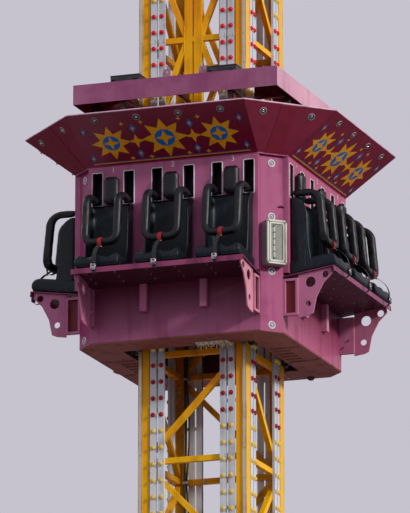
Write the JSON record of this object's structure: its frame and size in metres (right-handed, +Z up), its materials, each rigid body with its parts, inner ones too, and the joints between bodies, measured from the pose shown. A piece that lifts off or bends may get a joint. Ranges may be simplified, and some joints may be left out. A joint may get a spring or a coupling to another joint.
{
  "type": "drop tower ride",
  "caption": "Drop tower ride: a square lattice tower with light strips and a boarding deck, and a four-sided seat carriage with a flared canopy and hinged over-shoulder restraints.",
  "frame": {"origin": "on the ground under the middle of the tower", "axes": "+Z up the tower, front of the carriage towards -Y"},
  "size_m": [5.8, 7.3606, 15.438],
  "materials": {
    "yellow_paint": "gloss enamel, weathered",
    "galvanised": "galvanised",
    "bare_rail": "run smooth by rollers",
    "strip_white": "white enamel",
    "machine_grey": "machine enamel",
    "wire_rope": "greased wire",
    "buffer_rubber": "matt",
    "deck_plate": "chequer plate, worn",
    "plum_paint": "satin enamel",
    "floor_paint": "primer, dirty",
    "frame_paint": "dark enamel",
    "roller_plastic": "cast polyurethane",
    "black_fitting": "black enamel",
    "seat_shell": "moulded shell",
    "seat_pad": "soft skinned foam",
    "restraint_pad": "soft skinned foam over a steel bar",
    "lamp_case": "grey cream enamel"
  },
  "bodies": {
    "tower": {"base_beams": "yellow_paint", "levelling_feet": "galvanised", "column_shoes": "yellow_paint", "tower_columns": "yellow_paint", "guide_rails": "bare_rail", "lattice_front": "yellow_paint", "lattice_right": "yellow_paint", "lattice_back": "yellow_paint", "lattice_left": "yellow_paint", "light_strips": "strip_white", "crown_frame": "yellow_paint", "crown_sheave": "machine_grey", "winch": "machine_grey", "hoist_rope": "wire_rope", "buffers": "buffer_rubber", "boarding_deck": "deck_plate", "deck_steps": "deck_plate"},
    "carriage": {"front_wall": "plum_paint", "right_wall": "plum_paint", "back_wall": "plum_paint", "left_wall": "plum_paint", "corner_facets": "plum_paint", "floor_plates": "floor_paint", "top_plates": "plum_paint", "guide_frame": "frame_paint", "guide_rollers": "roller_plastic", "canopy_panels": "plum_paint", "canopy_corners": "plum_paint", "canopy_struts": "plum_paint", "hood": "plum_paint", "hood_posts": "frame_paint", "hood_fittings": "black_fitting", "seat_shelves": "plum_paint", "shelf_gussets": "plum_paint", "seats_front": "seat_shell", "seats_right": "seat_shell", "seats_back": "seat_shell", "seats_left": "seat_shell", "headrests": "seat_pad", "box_lamps": "lamp_case", "hoist_lug": "machine_grey"},
    "restraint_front_1": {"restraint_front_1": "restraint_pad"},
    "restraint_front_2": {"restraint_front_2": "restraint_pad"},
    "restraint_front_3": {"restraint_front_3": "restraint_pad"},
    "restraint_right_1": {"restraint_right_1": "restraint_pad"},
    "restraint_right_2": {"restraint_right_2": "restraint_pad"},
    "restraint_right_3": {"restraint_right_3": "restraint_pad"},
    "restraint_back_1": {"restraint_back_1": "restraint_pad"},
    "restraint_back_2": {"restraint_back_2": "restraint_pad"},
    "restraint_back_3": {"restraint_back_3": "restraint_pad"},
    "restraint_left_1": {"restraint_left_1": "restraint_pad"},
    "restraint_left_2": {"restraint_left_2": "restraint_pad"},
    "restraint_left_3": {"restraint_left_3": "restraint_pad"}
  },
  "joints": [
    {"name": "carriage_slide", "type": "slide", "parent": "tower", "child": "carriage", "axis": [0, 0, 1], "range_m": [-7.07, 3.7]},
    {"name": "restraint_front_1_pivot", "type": "hinge", "parent": "carriage", "child": "restraint_front_1", "pos_m": [-0.685, -1.098, 9.253], "axis": [-1, 0, 0], "range_deg": [0, 58]},
    {"name": "restraint_front_2_pivot", "type": "hinge", "parent": "carriage", "child": "restraint_front_2", "pos_m": [0, -1.098, 9.253], "axis": [-1, 0, 0], "range_deg": [0, 58]},
    {"name": "restraint_front_3_pivot", "type": "hinge", "parent": "carriage", "child": "restraint_front_3", "pos_m": [0.685, -1.098, 9.253], "axis": [-1, 0, 0], "range_deg": [0, 58]},
    {"name": "restraint_right_1_pivot", "type": "hinge", "parent": "carriage", "child": "restraint_right_1", "pos_m": [1.098, -0.685, 9.253], "axis": [0, -1, 0], "range_deg": [0, 58]},
    {"name": "restraint_right_2_pivot", "type": "hinge", "parent": "carriage", "child": "restraint_right_2", "pos_m": [1.098, 0, 9.253], "axis": [0, -1, 0], "range_deg": [0, 58]},
    {"name": "restraint_right_3_pivot", "type": "hinge", "parent": "carriage", "child": "restraint_right_3", "pos_m": [1.098, 0.685, 9.253], "axis": [0, -1, 0], "range_deg": [0, 58]},
    {"name": "restraint_back_1_pivot", "type": "hinge", "parent": "carriage", "child": "restraint_back_1", "pos_m": [0.685, 1.098, 9.253], "axis": [1, 0, 0], "range_deg": [0, 58]},
    {"name": "restraint_back_2_pivot", "type": "hinge", "parent": "carriage", "child": "restraint_back_2", "pos_m": [0, 1.098, 9.253], "axis": [1, 0, 0], "range_deg": [0, 58]},
    {"name": "restraint_back_3_pivot", "type": "hinge", "parent": "carriage", "child": "restraint_back_3", "pos_m": [-0.685, 1.098, 9.253], "axis": [1, 0, 0], "range_deg": [0, 58]},
    {"name": "restraint_left_1_pivot", "type": "hinge", "parent": "carriage", "child": "restraint_left_1", "pos_m": [-1.098, 0.685, 9.253], "axis": [0, 1, 0], "range_deg": [0, 58]},
    {"name": "restraint_left_2_pivot", "type": "hinge", "parent": "carriage", "child": "restraint_left_2", "pos_m": [-1.098, 0, 9.253], "axis": [0, 1, 0], "range_deg": [0, 58]},
    {"name": "restraint_left_3_pivot", "type": "hinge", "parent": "carriage", "child": "restraint_left_3", "pos_m": [-1.098, -0.685, 9.253], "axis": [0, 1, 0], "range_deg": [0, 58]}
  ]
}
